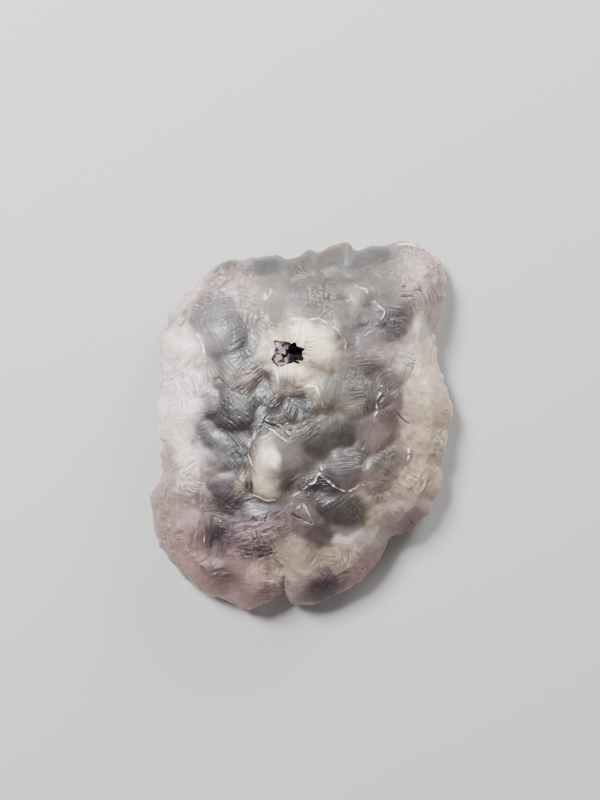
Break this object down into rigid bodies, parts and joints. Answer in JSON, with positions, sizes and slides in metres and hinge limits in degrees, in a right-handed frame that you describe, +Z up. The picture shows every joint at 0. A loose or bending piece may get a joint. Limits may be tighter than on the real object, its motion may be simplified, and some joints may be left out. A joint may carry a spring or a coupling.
{
  "type": "bicolor fluorite specimen",
  "caption": "Hand-sized plate of intergrown, etched, see-through fluorite crystals with a dark crystal-lined vug, lying on its flat broken base.",
  "frame": {"origin": "the middle of the object's box, on the plane of the flat base that it rests on", "axes": "+Z up, out of the crystal face; +Y towards the vug's end, the long way of the plate; +X towards the knobbed corner's side"},
  "size_m": [0.0612, 0.0746, 0.0192],
  "materials": {
    "fluorite": "etched, frosted and see-through, grey-green in the middle, milky lavender at the rim, mauve at the bottom",
    "violet_fluorite": "glassy crystal faces, near black"
  },
  "bodies": {
    "root": {"fluorite": "fluorite", "vug_crust": "violet_fluorite"}
  },
  "joints": []
}
